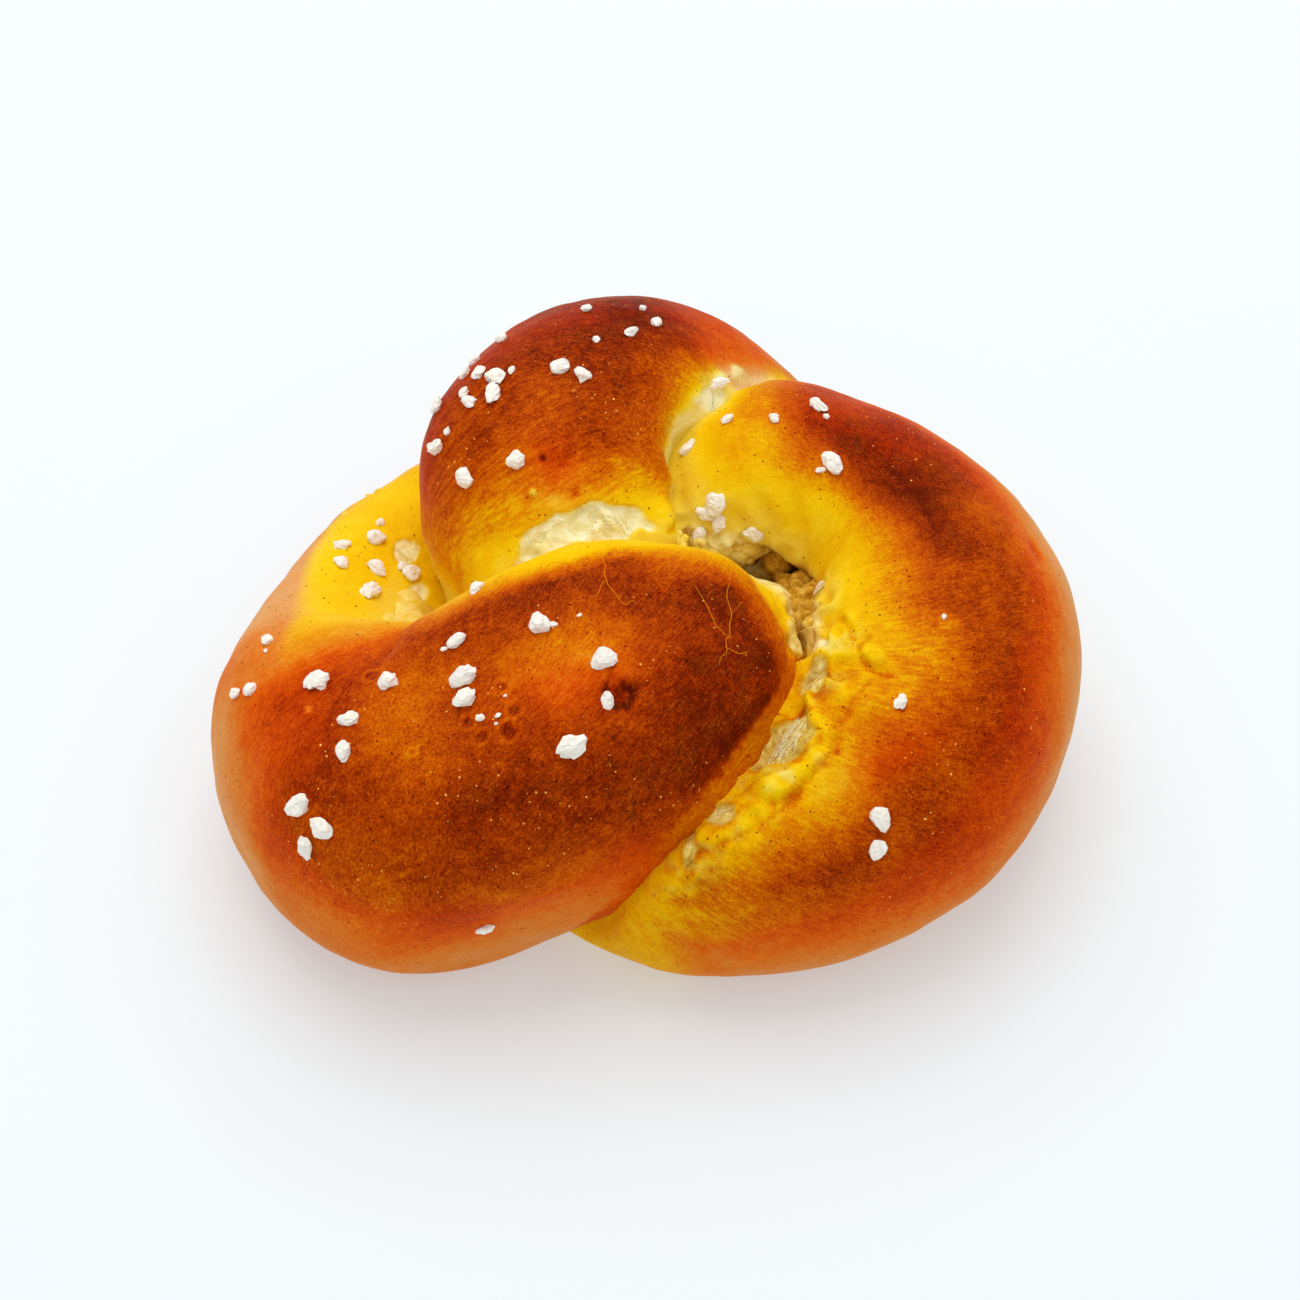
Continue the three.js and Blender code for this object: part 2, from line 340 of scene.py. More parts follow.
# The furrows' change of bake makes them browner: partly painted shade in them.
FURROWS = {  # (row, angle) places along narrow furrows, their half width and depth in mm, change of bake
    "front": (
        (((6.40, 71), (6.36, 67), (6.39, 63), (6.46, 62), (6.51, 65), (6.48, 70)), .35, .45, .22),
        (((6.50, 66), (6.56, 67), (6.60, 66)), .3, .3, .14),
        (((6.43, 72), (6.48, 76), (6.47, 79)), .3, .25, .10),
        (((7.30, 47), (7.16, 45), (7.02, 40), (6.88, 34)), 1.0, .0, .10),
    ),
    "back": (
        (((13.52, 93), (13.46, 97), (13.40, 100)), .4, .2, .12),
        (((13.98, 138), (13.9, 144), (13.8, 150)), .5, .5, .2),
    ),
    "right": (
        (((18.30, 78), (18.25, 75), (18.05, 68), (17.88, 64), (17.77, 61)), .5, .6, .12),
        (((18.66, 89), (18.50, 87), (18.40, 83), (18.30, 81)), .4, .5, .12),
        (((18.98, 103), (18.86, 103), (18.77, 99), (18.74, 92), (18.80, 86)), .35, .4, .14),
        (((17.28, 44), (17.45, 49), (17.62, 53), (17.78, 58), (17.95, 64)), .5, .5, .12),
        (((17.60, 96), (17.78, 102), (17.98, 104), (18.16, 99), (18.22, 92)), .3, .35, .16),
        (((18.52, 96), (18.5, 104), (18.42, 110)), .35, .4, .14),
        (((19.12, 118), (19.0, 112), (18.9, 107)), .4, .5, .12),
        (((17.55, 70), (17.70, 74), (17.9, 74)), .35, .4, .12),
    ),
}
PIT = ((5, 7, 30, 1.6), (9.5, 7, 28, 3.0), (14, 6.5, 24, 5.2), (17.5, 3, 22, 5.6), (19.5, -2.5, 26.5, 3.2),
       (20, -8, 31, 1.8))  # where the three bends tore apart: x, y, z and half width in mm
BLISTERS = {  # thin-skinned bubbles: (row, angle, half length, half width, rise in mm, change of bake)
    "front": ((4.61, 67, .6, .5, .3, -.3),),
    "back": ((13.68, 79, .5, .5, .3, -.3),),
    "right": ((18.85, 96, 1.3, 1.9, .7, -.08),),
}
RINGS = {  # burst bubbles leave a ring round a hollow: (row, angle, radius in mm, how much darker inside)
    "front": (
        (5.19, 31, 1.1, .04), (5.26, 36, 1.0, .04), (4.91, 91, 1.0, .06), (5.86, 81, .85, .12),
        (5.88, 72, .9, .16), (5.82, 67, 1.3, .13), (5.69, 68, .9, .11), (5.64, 74, .9, .12),
        (5.71, 55, .6, .08), (5.34, 68, .5, .1),
    ),
    "back": (),
    "right": ((19.33, 81, 1.1, -.16),),
}
RING_RIM = 0.25  # half width of a ring's rim, in mm
STRETCH = {  # lines in the glaze: mm across and along them, two rows and their slant there in degrees
    "front": (0.42, 2.6, (4.6, 5.6), (0, -50)),
    "back": (0.42, 3.0, (12.4, 13.6), (44, 18)),
    "right": (0.38, 2.8, (20, 21), (30, 66)),
}
LINED = {  # how much the lines show, and how much more they do where yellow turns to brown
    "front": (0.07, 0.06), "back": (0.09, 0.10), "right": (0.06, 0.08),
}
WALL_BRIM = (  # where the right bend's inner wall begins, which is carved away: rows, and its angle there
    (18.5, 19.5, 20.2, 21, 21.6, 22.1, 22.4, 22.9), (132, 142, 148, 153, 157, 151, 140, 132),
)
CARVED = 4.0  # mm that it is carved away
UNDERSIDE = {"front": 0.0, "back": 0.04, "right": 0.08}  # height of each bend's flat underside, in mm
SLACK_HOLLOW = (5.0, 104, 8, 10)  # of the front bend: row, angle, half length, half width in mm
SLACK_STEPS = 60  # times that its points move to the mean of their neighbours
MM_PER_ROW, MM_PER_RADIAN = 13, 17  # of the skin, roughly, along the rope and round it
TEAR_RAGGEDNESS = {"front": 0.4, "back": 0.9, "right": 0.4}  # of the tears' outlines, as a share of size
SIDE_BAKE = 0.36  # near the tray the sides' bake is drawn halfway to this


def outward(points):
    """Unit normals of a grid of rings: the cross product of its steps along and around, facing outwards."""
    closed = np.concatenate([points[:, -1:], points, points[:, :1]], 1)
    return unit(np.cross(np.gradient(points, axis=0), np.gradient(closed, axis=1)[:, 1:-1]))


def baked(name, rows, angles):
    """Bake at each point: linear between the listed angles, then eased between the listed rows."""
    stations = np.array(list(BAKE[name]), float)
    by_station = np.stack([np.interp(angles, BAKE_ANGLES, values) for values in BAKE[name].values()])
    place = np.interp(rows, stations, np.arange(len(stations)))
    low = np.minimum(place.astype(int), len(stations) - 2)
    at_low, at_high = (np.take_along_axis(by_station, i[None], 0)[0] for i in (low, low + 1))
    return at_low + (at_high - at_low) * ramp(place - low, 0, 1)


def turned(along, across, degrees):
    """Two directions in the skin, turned by an angle: c * along + s * across, and c * across - s * along."""
    c, s = np.cos(np.radians(degrees)), np.sin(np.radians(degrees))
    return c * along + s * across, c * across - s * along


def oval(name, row, angle, long, wide, slant=0):
    """How far each point of a bend is from a place on it, as a share of an oval's half sizes:
    sqrt((u / long)^2 + (v / wide)^2 + (w / the larger)^2), where u runs along the rope, turned by the slant,
    v round it and w off the skin."""
    points, rows, angles, _ = surfaces[name]
    i = np.clip(abs(rows[:, 0] - row).argmin(), 1, len(rows) - 2)
    j = abs(angles[0] - angle).argmin()
    along = unit(points[i + 1, j] - points[i - 1, j])
    off = unit(np.cross(along, points[i, (j + 1) % AROUND] - points[i, j - 1]))
    offset = points - points[i, j]
    u, v = (offset @ direction for direction in turned(along, np.cross(off, along), slant))
    return np.sqrt((u / long) ** 2 + (v / wide) ** 2 + (offset @ off / max(long, wide)) ** 2)


def from_line(name, places_along, samples=40):
    """Distance in mm from each point of a bend to a line on its skin through (row, angle) places."""
    points, rows, angles, _ = surfaces[name]
    t = np.linspace(0, len(places_along) - 1, samples)
    row, angle = (np.interp(t, np.arange(len(places_along)), values) for values in zip(*places_along))
    line = points[abs(rows[:, 0] - row[:, None]).argmin(1), abs(angles[0] - angle[:, None]).argmin(1)]
    return np.sqrt(np.min([((points - spot) ** 2).sum(-1) for spot in line], axis=0))


def from_pit(points):
    """Distance in mm outside the pit: a chain of balls along PIT, each joined to the next as a capsule."""
    away = np.full(points.shape[:-1], np.inf)
    for (*a, r), (*b, q) in zip(PIT, PIT[1:]):
        a, b = np.array(a), np.array(b)
        t = np.clip((points - a) @ (b - a) / ((b - a) @ (b - a)), 0, 1)
        from_middle = np.linalg.norm(points - a - t[..., None] * (b - a), axis=-1)
        away = np.minimum(away, from_middle - r - (q - r) * t)
    return away


def folded_front(points, rows, angles):
    """The fat lobe swells over the thin strand in a fold that runs across the rope at rows 3.5 to 3.66: the
    strand is 1.5 mm lower up to it, and the lobe 0.5 mm higher in a bell just past it."""
    fold = np.interp(angles, (50, 85, 115, 140), (3.50, 3.60, 3.66, 3.6))
    inside = ramp(angles, 58, 92) * (1 - ramp(angles, 160, 180))
    dip = ramp(rows, 2.4, 3.2) * (1 - ramp(rows, fold - 0.10, fold + 0.22))
    return (0.5 * bell(rows, fold + 0.35, 0.3) - 1.5 * dip) * inside, 0, np.zeros(rows.shape)


def faceted_back(points, rows, angles):
    """The skin tore into soft facets where it was pulled off the bend on its right: lumps of 3 mm within a
    bell of the seam, whose upper parts are bare crumb."""
    band = bell(near["back"]["right"], 1.2, 2.4) * ramp(rows, 11.1, 11.6) * (1 - ramp(rows, 12.7, 13.3))
    facets = lumps(points * (0.6, 1.2, 1.2), 3.0, 12, 2)
    return 0.5 * facets * band, -(0.3 + 0.1 * facets) * band, 0.9 * band * ramp(facets, -0.1, 0.4)


def gathered_right(points, rows, angles):
    """The inside wall is gathered into soft pleats, a cosine of 3.2 pleats to a row, and the skin beside the
    front bend is drawn into round knobs, 0.8 - 2.4 * |lumps|, with scraps of bare crumb between them.
    The skin there is browner between the knobs: painted shade."""
    pleats = np.cos(2 * np.pi * (rows + 0.012 * (angles - 130)) * 3.2 + 2 * lumps(points, 7, 8))
    on_wall = ramp(rows, 18.8, 19.6) * (1 - ramp(rows, 21.9, 22.4)) * bell(angles, 140, 17)
    by_seam = bell(near["right"]["front"], 3.0, 4.2) * ramp(rows, 16.9, 17.3) * (1 - ramp(rows, 18.9, 19.3))
    knobs = 0.8 - 2.4 * np.abs(lumps(points, 3.4, 9, 2))
    height = 0.35 * pleats * on_wall + (0.55 * knobs - 0.2) * by_seam
    bake = (-0.02 - 0.12 * knobs + 0.10 * lumps(points, 1.2, 10)) * by_seam
    return height, bake, 0.4 * by_seam * ramp(lumps(points * (1, 1, 1.6), 2.0, 14, 2), 0.25, 0.5)


# How each bend rose: the changes of its height in mm and of its bake, and how torn that leaves it.
RISEN = {"front": folded_front, "back": faceted_back, "right": gathered_right}


def joined(name, ragged, height, bake):
    """The skin along its seams: it dips as a bell of the distance from the seam, is ragged, and stays as
    pale as SEAMS says, its bake moved there by a bell of that distance. Along the front bend's fold under the
    back bend that bake is partly painted shade."""
    for other, gap in near[name].items():
        dip, dip_width, target, bake_width, raggedness = SEAMS[name, other]
        height = height - dip * bell(np.maximum(gap, 0), 0, dip_width)
        height = height + raggedness * ragged * bell(gap, 0, 2.5)
        bake = bake + (target - bake) * bell(np.maximum(gap + 0.8 * ragged, 0), 0, bake_width)
    return height, bake


def marked(name, ragged, height, bake):
    """The skin with its lumps, furrows, blisters, rings and spots: each adds its height and its change of
    bake times a bell, or an eased step, of the distance from it as a share of its size."""
    for *place, rise in LUMPS[name]:
        height = height + rise * bell(oval(name, *place), 0, 1)
    for places_along, wide, deep, change in FURROWS[name]:
        furrow = bell(from_line(name, places_along) + 0.25 * ragged, 0, wide)
        height, bake = height - deep * furrow, bake + change * furrow
    for *place, rise, change in BLISTERS[name]:
        bubble = 1 - ramp(oval(name, *place), 0.7, 1.15)
        height, bake = height + rise * bubble, bake + change * bubble
    for row, angle, radius, darker in RINGS[name]:
        ring = oval(name, row, angle, radius, radius)
        rim = bell((ring - 1) * radius, 0, RING_RIM)
        inside = 1 - ramp(ring, 0.5, 1.0)
        height = height + 0.14 * rim - (0.05 + 0.8 * darker) * inside
        bake = bake - 0.12 * rim + darker * inside
    for *place, change in SPOTS[name]:
        bake = bake + change * bell(oval(name, *place) + 0.3 * ragged, 0, 1)
    return height, bake


def holed(name, points, ragged, height, bake, torn):
    """The skin with its tears: within each ragged oval it lies deeper, uneven and bare, and browned as TEARS
    says, and the lip round a browned one is darker."""
    for row, angle, long, wide, slant, depth, browned in TEARS[name]:
        edge = oval(name, row, angle, long, wide, slant) + TEAR_RAGGEDNESS[name] * ragged
        hole = 1 - ramp(edge, 0.90, 1.02)
        height = height - depth * hole + 0.3 * hole * lumps(points, 1.6, 31, 2)
        bake = bake + (browned - bake) * hole + 0.5 * max(browned, 0) * bell((edge - 1.06) * wide, 0, 0.35)
        torn = np.maximum(torn, hole)
    return height, bake, torn


def pitted(points, ragged, height, bake, torn):
    """The skin at the pit between the bends: lumpy on the brink, 0.5 - 1.4 * |lumps| mm, paler on its rises
    and browner in its dips, and inside it bare crumb, 0.9 - 2.0 * |lumps| mm, that is browner the deeper it
    lies.
    The browner dips and depths are painted shade."""
    away = from_pit(points)
    brink = bell(np.maximum(away - 1, 0), 0, 3.5)
    creased = np.abs(lumps(points, 4.2, 36, 2))
    pit = 1 - ramp(away + 1.6 * ragged, 0.0, 1.2)
    bake = bake - (0.10 - 0.16 * creased) * brink
    bake = bake + (0.24 + 0.16 * lumps(points, 3, 33) + 0.16 * ramp(-away, 1.0, 4.0) - bake) * pit
    height = height + brink * (0.5 - 1.4 * creased) + pit * (0.9 - 2.0 * np.abs(lumps(points, 3.6, 34)))
    return height, bake, np.maximum(torn, pit)


def formed_bend(name, points, rows, angles, height):
    """The plain rope's points moved outwards by the height, less near the tray and where they crowd
    together. The right bend's inner wall is carved away towards the rope's middle. The front bend's inner
    skin, where the rope turns sharply, slackens into one smooth hollow: its points move to the mean of their
    neighbours along it."""
    carved = np.zeros(rows.shape)
    if name == "right":
        brim = np.interp(rows, *WALL_BRIM)
        wall = ramp(rows, 18.8, 21) * (1 - ramp(angles, 215, 240))
        carved = CARVED * wall * ramp(angles - brim, -2, 14)
    inwards = unit(bend_at(np.linspace(*BENDS[name], ALONG + 2))[0][1:-1, None] - points)
    exposed = ramp(points[..., 2], 1, 6)
    room = ramp(np.linalg.norm(np.gradient(points, axis=0), axis=-1), 0.06, 0.22)
    moved = outward(points) * (height * exposed * room)[..., None] + inwards * carved[..., None]
    formed = points + moved - MIDDLE
    if name == "front":
        crowded = bell(oval(name, *SLACK_HOLLOW), 0, 1)[1:-1, :, None]
        for _ in range(SLACK_STEPS):
            formed[1:-1] += crowded * ((formed[:-2] + formed[2:]) / 2 - formed[1:-1])
    formed[..., 2] = np.maximum(formed[..., 2], UNDERSIDE[name])
    return formed


def base_bake(points):
    """Bake of the flat underside, one even golden brown: 0.5 with clouds of 0.1."""
    return 0.5 + 0.1 * lumps(points, 9, 41)


def dressed(name):
    """Skin of one bend: its points moved off the plain rope by their height in mm, and its fields: bake,
    torn (1 is bare crumb), flush (1 is reddest), stretch (the place across and along the lines in the glaze,
    as shares of their size) and lined (how much those lines show)."""
    points, rows, angles, _ = surfaces[name]
    ragged = 0.5 * lumps(points, 3.5, 21, 2)
    rise, change, torn = RISEN[name](points, rows, angles)
    height = 0.40 * lumps(points, 17, 3) + 0.14 * lumps(points, 4.5, 5, 2) + rise
    height, bake = joined(name, ragged, height, baked(name, rows, angles) + change)
    height, bake = marked(name, ragged, height, bake)
    height, bake, torn = holed(name, points, ragged, height, bake, torn)
    bake = bake + (SIDE_BAKE - bake) * (1 - ramp(points[..., 2], 1.5, 7)) * 0.5
    height, bake, torn = pitted(points, ragged, height, bake, torn)

    band_rows, band_angles = FLUSHED_BAND[name]
    off_band = angles - np.interp(rows, band_rows, band_angles)
    start, end = band_rows[0], band_rows[-1]
    in_band = ramp(rows, start - 0.3, start) * (1 - ramp(rows, end, end + 0.3))
    flush = sum(bell(oval(name, *patch), 0, 1) for patch in FLUSHED[name])
    flush = flush + in_band * bell(np.maximum(off_band - 3 + 5 * lumps(points, 8, 27), 0), 0, 8)
    across, along, row_span, slants = STRETCH[name]
    slope = np.tan(np.radians(np.interp(rows, row_span, slants)))
    u, v = rows * MM_PER_ROW, np.radians(angles - 80) * MM_PER_RADIAN
    stretch = np.stack([(u + v * slope) / across, (v - u * slope) / along, 0 * rows], -1)

    under = 1 - ramp(points[..., 2], -0.3, 0.8)
    bake = bake + (base_bake(points) - bake) * under
    flush, torn = np.clip(flush * (1 - under), 0, 1), torn * (1 - under)
    lined = (LINED[name][0] + LINED[name][1] * bell(bake, 0.48, 0.17)) * (0.2 + 0.8 * ramp(off_band, -8, 12))
    fields = {"bake": bake, "torn": torn, "flush": flush, "stretch": stretch, "lined": lined}
    return formed_bend(name, points, rows, angles, height), fields


def linear(hex_colour):
    """sRGB hex to the linear colour that Blender's sockets hold: ((c + 0.055) / 1.055)^2.4 above 0.04."""
    c = np.array([int(hex_colour[i:i + 2], 16) for i in (1, 3, 5)]) / 255
    return (*np.where(c <= 0.04045, c / 12.92, ((c + 0.055) / 1.055) ** 2.4), 1.0)


def new_material(name, **sockets):
    """A material whose Principled shader has the given socket values, where underscores stand for spaces."""
    material = bpy.data.materials.new(name)
    material.use_nodes = True
    shader = material.node_tree.nodes["Principled BSDF"]
    for key, value in sockets.items():
        shader.inputs[key.replace("_", " ")].default_value = value
    return material, material.node_tree, shader


def add(tree, kind, out=0, stops=(), **links):
    """Adds a node and gives one of its outputs, by number or name. Stops are a colour ramp's (place, hex)
    pairs, its two ends first. Each other word is a setting of the node, or else the input of that name, where
    underscores stand for spaces and in0, in1 ... are inputs by number: it is given a value or another node's
    output."""
    node = tree.nodes.new("ShaderNode" + kind)
    for i, (place, colour) in enumerate(stops):
        element = node.color_ramp.elements[i] if i < 2 else node.color_ramp.elements.new(place)
        element.position, element.color = place, linear(colour)
    for key, value in links.items():
        if hasattr(node, key):
            setattr(node, key, value)
            continue
        numbered = key.startswith("in") and key[2:].isdigit()
        socket = node.inputs[int(key[2:]) if numbered else key.replace("_", " ")]
        if isinstance(value, bpy.types.NodeSocket):
            tree.links.new(value, socket)
        else:
            socket.default_value = value
    return node.outputs[out]


def crust_material():
    """Egg-glazed bread crust: satin, as the egg dries to a thin film over fine wrinkles, pores and pale
    flecks. It runs from raw yellow through gold and orange to a deep red brown, and to pale crumb where it
    is torn."""
    material, tree, shader = new_material(
        "egg glazed crust", Specular_IOR_Level=0.02, IOR=1.45, Sheen_Weight=0.12, Sheen_Roughness=0.22,
        Sheen_Tint=linear("#ffd898"),
    )
    place = add(tree, "TexCoord", "Object")
    bake, torn, flush, lined = (add(tree, "Attribute", "Fac", attribute_name=field)
                                for field in ("bake", "torn", "flush", "lined"))
    stretch = add(tree, "Attribute", "Vector", attribute_name="stretch")

    browner = add(tree, "MapRange", Value=bake, From_Min=0.2, From_Max=0.6, To_Min=0.2, To_Max=1)
    browned = bake
    for vector, size, detail, share in (
        (place, 8 * MM, 4, 0.13),  # clouds in the browning
        (place, 1.6 * MM, 4, 0.08),  # cells of crumb under the skin
        (place, 0.4 * MM, 2, 0.06),  # wrinkles in the egg film, 0.2 mm in life, drawn coarser to show
        (stretch, 0.45, 1, 0.06),  # fine lines along which the skin stretched
        (place, 0.22 * MM, 0, 0.08),  # grain of the film, 0.1 mm in life, drawn coarser to show
        (stretch, 1, 3, lined),  # and broader lines, each bend's own
    ):
        noise = add(tree, "TexNoise", Vector=vector, Scale=1 / size, Detail=detail, Roughness=0.62)
        centred = add(tree, "MapRange", interpolation_type="SMOOTHSTEP", Value=noise, From_Min=0.32,
                      From_Max=0.68, To_Min=-0.5, To_Max=0.5)
        scaled = add(tree, "Math", operation="MULTIPLY", in0=centred, in1=share)
        browned = add(tree, "Math", operation="MULTIPLY_ADD", in0=scaled, in1=browner, in2=browned)
    golden = add(tree, "ValToRGB", in0=browned, stops=(
        (0.00, "#f8eaa0"), (1.00, "#601600"), (0.12, "#f8df50"), (0.25, "#f6ca08"), (0.38, "#ebab00"),
        (0.50, "#dd8600"), (0.60, "#d26a00"), (0.70, "#c45200"), (0.80, "#a93a00"), (0.90, "#872500"),
    ))
    # The ruddy ramp's pale tan low end also paints that reflection on the outer rims.
    ruddy = add(tree, "ValToRGB", in0=browned, stops=(
        (0.00, "#ecd2a0"), (1.00, "#601600"), (0.22, "#e29c58"), (0.38, "#de7a20"), (0.50, "#dc5e06"),
        (0.60, "#d24a00"), (0.80, "#a82c00"), (0.90, "#861e00"),
    ))
    colour = add(tree, "Mix", 2, data_type="RGBA", in0=flush, in6=golden, in7=ruddy)

    hairs = add(tree, "TexNoise", Vector=place, Scale=1 / (0.7 * MM), Detail=3, Roughness=0.7, Distortion=1.5)
    fleck = add(tree, "MapRange", Value=hairs, From_Min=0.61, From_Max=0.70, To_Max=0.34)
    wisps = add(tree, "TexNoise", Vector=stretch, Scale=0.5, Detail=2, Roughness=0.5, Distortion=0.6)
    patchy = add(tree, "TexNoise", Vector=place, Scale=1 / (4 * MM), Detail=2)
    some = add(tree, "MapRange", Value=patchy, From_Min=0.50, From_Max=0.66, To_Max=0.6)
    lines = []
    for noise, half_width in ((wisps, 0.010), (hairs, 0.022)):  # a line runs where a noise passes its middle
        ridge = add(tree, "Math", operation="COMPARE", in0=noise, in1=0.5, in2=half_width)
        lines.append(add(tree, "Math", operation="MULTIPLY", in0=ridge, in1=some))
    dots = []
    for spacing, least, largest, strength in ((0.75 * MM, 0.25, 0.23, 0.95), (0.9 * MM, 0.2, 0.22, 0.9)):
        cells = add(tree, "TexVoronoi", "Distance", Vector=place, Scale=1 / spacing)
        chance = cells.node.outputs["Color"]
        size = add(tree, "MapRange", Value=chance, From_Min=least, From_Max=0.95, To_Max=largest)
        depth = add(tree, "Math", operation="SUBTRACT", in0=size, in1=cells)
        dots.append(add(tree, "MapRange", Value=depth, From_Max=0.03, To_Max=strength))
    painted_glint, pore = dots
    # The glints are a painted highlight: bright specks painted into the colour where tiny beads of egg on the
    # brown would catch the light.
    clouds = add(tree, "TexNoise", Vector=place, Scale=1 / (9 * MM), Detail=2)
    gathered = add(tree, "MapRange", Value=clouds, From_Min=0.50, From_Max=0.58)
    on_brown = add(tree, "MapRange", Value=bake, From_Min=0.5, From_Max=0.7)
    for share in (on_brown, gathered):
        painted_glint = add(tree, "Math", operation="MULTIPLY", in0=painted_glint, in1=share)
    # The pinholes are multiplied darker in the colour: painted shade inside them.
    for share, blend, tint in (
        (fleck, "SCREEN", "#b0560a"),  # flecks where the egg lies thin
        (lines[0], "SCREEN", "#c05208"),  # golden wisps along the stretched skin
        (lines[1], "SCREEN", "#a84a04"),  # and a crackle across it
        (painted_glint, "MIX", "#ffb850"),  # tiny beads of egg that gather on the brown and catch the light
        (pore, "MULTIPLY", "#a05030"),  # pinholes, 0.1 mm in life, drawn coarser to show
    ):
        colour = add(tree, "Mix", 2, data_type="RGBA", blend_type=blend, in0=share, in6=colour,
                     in7=linear(tint))

    fibres = add(tree, "TexNoise", Vector=place, Scale=1 / (1.5 * MM), Detail=3, Roughness=0.55,
                 Distortion=1.2)
    calmer = add(tree, "MapRange", Value=fibres, To_Min=0.22, To_Max=0.78)
    paled = add(tree, "Math", operation="MULTIPLY_ADD", in0=bake, in1=-0.9, in2=calmer)
    crumb = add(tree, "ValToRGB", in0=paled, stops=(
        (0.00, "#8e5410"), (0.60, "#fffbd0"), (0.14, "#c6922c"), (0.26, "#e4c45c"), (0.38, "#f8ea9c"),
    ))
    # The crumb is multiplied darker except along fine pale lines, its fibres: painted shade in the gaps
    # between them.
    webs = add(tree, "TexNoise", Vector=place, Scale=1 / (1.6 * MM), Detail=2, Roughness=0.6, Distortion=2.5)
    off_middle = add(tree, "Math", operation="SUBTRACT", in0=webs, in1=0.5)
    off_middle = add(tree, "Math", operation="ABSOLUTE", in0=off_middle)
    between = add(tree, "MapRange", Value=off_middle, From_Min=0.015, From_Max=0.09, To_Max=0.18)
    crumb = add(tree, "Mix", 2, data_type="RGBA", blend_type="MULTIPLY", in0=between, in6=crumb,
                in7=linear("#e2c46a"))
    colour = add(tree, "Mix", 2, data_type="RGBA", in0=torn, in6=colour, in7=crumb)
    tree.links.new(colour, shader.inputs["Base Color"])

    satin = add(tree, "MapRange", Value=hairs, From_Min=0.3, From_Max=0.7, To_Min=0.40, To_Max=0.52)
    rough = add(tree, "Math", operation="MULTIPLY_ADD", in0=torn, in1=0.4, in2=satin)  # bare crumb is matt
    tree.links.new(rough, shader.inputs["Roughness"])

    wrinkles = add(tree, "TexNoise", Vector=place, Scale=1 / (0.8 * MM), Detail=6, Roughness=0.62)
    stretched = add(tree, "TexNoise", Vector=stretch, Scale=1, Detail=3, Roughness=0.62)
    normal = add(tree, "Bump", Height=wrinkles, Strength=0.3, Distance=0.3 * MM)
    normal = add(tree, "Bump", Height=stretched, Strength=0.3, Distance=0.3 * MM, Normal=normal)
    normal = add(tree, "Bump", invert=True, Height=pore, Strength=0.3, Distance=0.1 * MM, Normal=normal)
    tree.links.new(normal, shader.inputs["Normal"])
    return material


def lay(name, vertices, faces, material, slot, fields=None, smooth=True):
    """Makes a piece from points in mm and faces, and sets it in place of the CAD solid on the one body."""
    mesh = bpy.data.meshes.new(name)
    mesh.from_pydata((vertices * MM).tolist(), [], faces)
    if smooth:
        mesh.shade_smooth()
    for field, values in (fields or {}).items():
        kind, key = ("FLOAT_VECTOR", "vector") if values.ndim == 2 else ("FLOAT", "value")
        attribute = mesh.attributes.new(field, kind, "POINT")
        attribute.data.foreach_set(key, values.astype(np.float32).ravel())
    mesh.materials.append(material)
    piece = bpy.data.objects.new(name, mesh)
    bpy.context.scene.collection.objects.link(piece)
    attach(piece, "root")
    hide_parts("knot")


def closed_grid(rings, spokes, copies=1):
    """Faces of a grid of rings joined in a loop, with a fan to a tip at each end, for any number of copies:
    the points of each are its rings and then its two tips. A square is [a, a + spokes, b + spokes, b], where
    b follows a round the ring."""
    a = np.arange(rings * spokes).reshape(rings, spokes)
    b = np.roll(a, -1, 1)
    squares = np.stack([a[:-1], a[1:], b[1:], b[:-1]], -1).reshape(-1, 4)
    tip = np.full(spokes, rings * spokes)
    fans = np.stack([tip, a[0], b[0]], -1), np.stack([tip + 1, b[-1], a[-1]], -1)
    start = np.arange(copies)[:, None, None] * (rings * spokes + 2)
    return [face for part in (squares, *fans) for face in (part + start).reshape(-1, part.shape[1]).tolist()]


near = {
    name: {other: to_seam(points, gap_to(points, *BENDS[other])) for other in BENDS if other != name}
    for name, (points, *_) in surfaces.items()
}
CRUST = crust_material()
skins = {}
for name in BENDS:
    formed, fields = dressed(name)
    skins[name] = formed, outward(formed)
    vertices = np.concatenate([formed.reshape(-1, 3), surfaces[name][3] - MIDDLE])
    fields = {  # the tips lie hidden, so they take the last two points' values
        field: np.concatenate([values.reshape(-1, *values.shape[2:]), values[-1, -2:]])
        for field, values in fields.items()
    }
    lay(f"{name}_bend", vertices, closed_grid(ALONG, AROUND), CRUST, "crust", fields)

# ---- Heart of the knot ---------------------------------------------------------------------------------
# The dough in the middle has proofed together and settled on the tray: a low dome with a flat floor, of the
# same dough and baked with it, that shows only from below.

HEART_CENTRE, HEART_HALF = (-4, 3, 0.12), (27.5, 24.5, 25.5)  # mm: where its floor is, and its half sizes
HEART_RINGS, FLOOR_RINGS, HEART_SPOKES = 25, 12, 96


def ball(polar, spokes):
    """Directions (sin p cos a, sin p sin a, cos p) on rings at the polar angles p, with a all round."""
    p, a = np.meshgrid(polar, np.linspace(0, 2 * np.pi, spokes, endpoint=False), indexing="ij")
    return np.stack([np.sin(p) * np.cos(a), np.sin(p) * np.sin(a), np.cos(p)], -1)


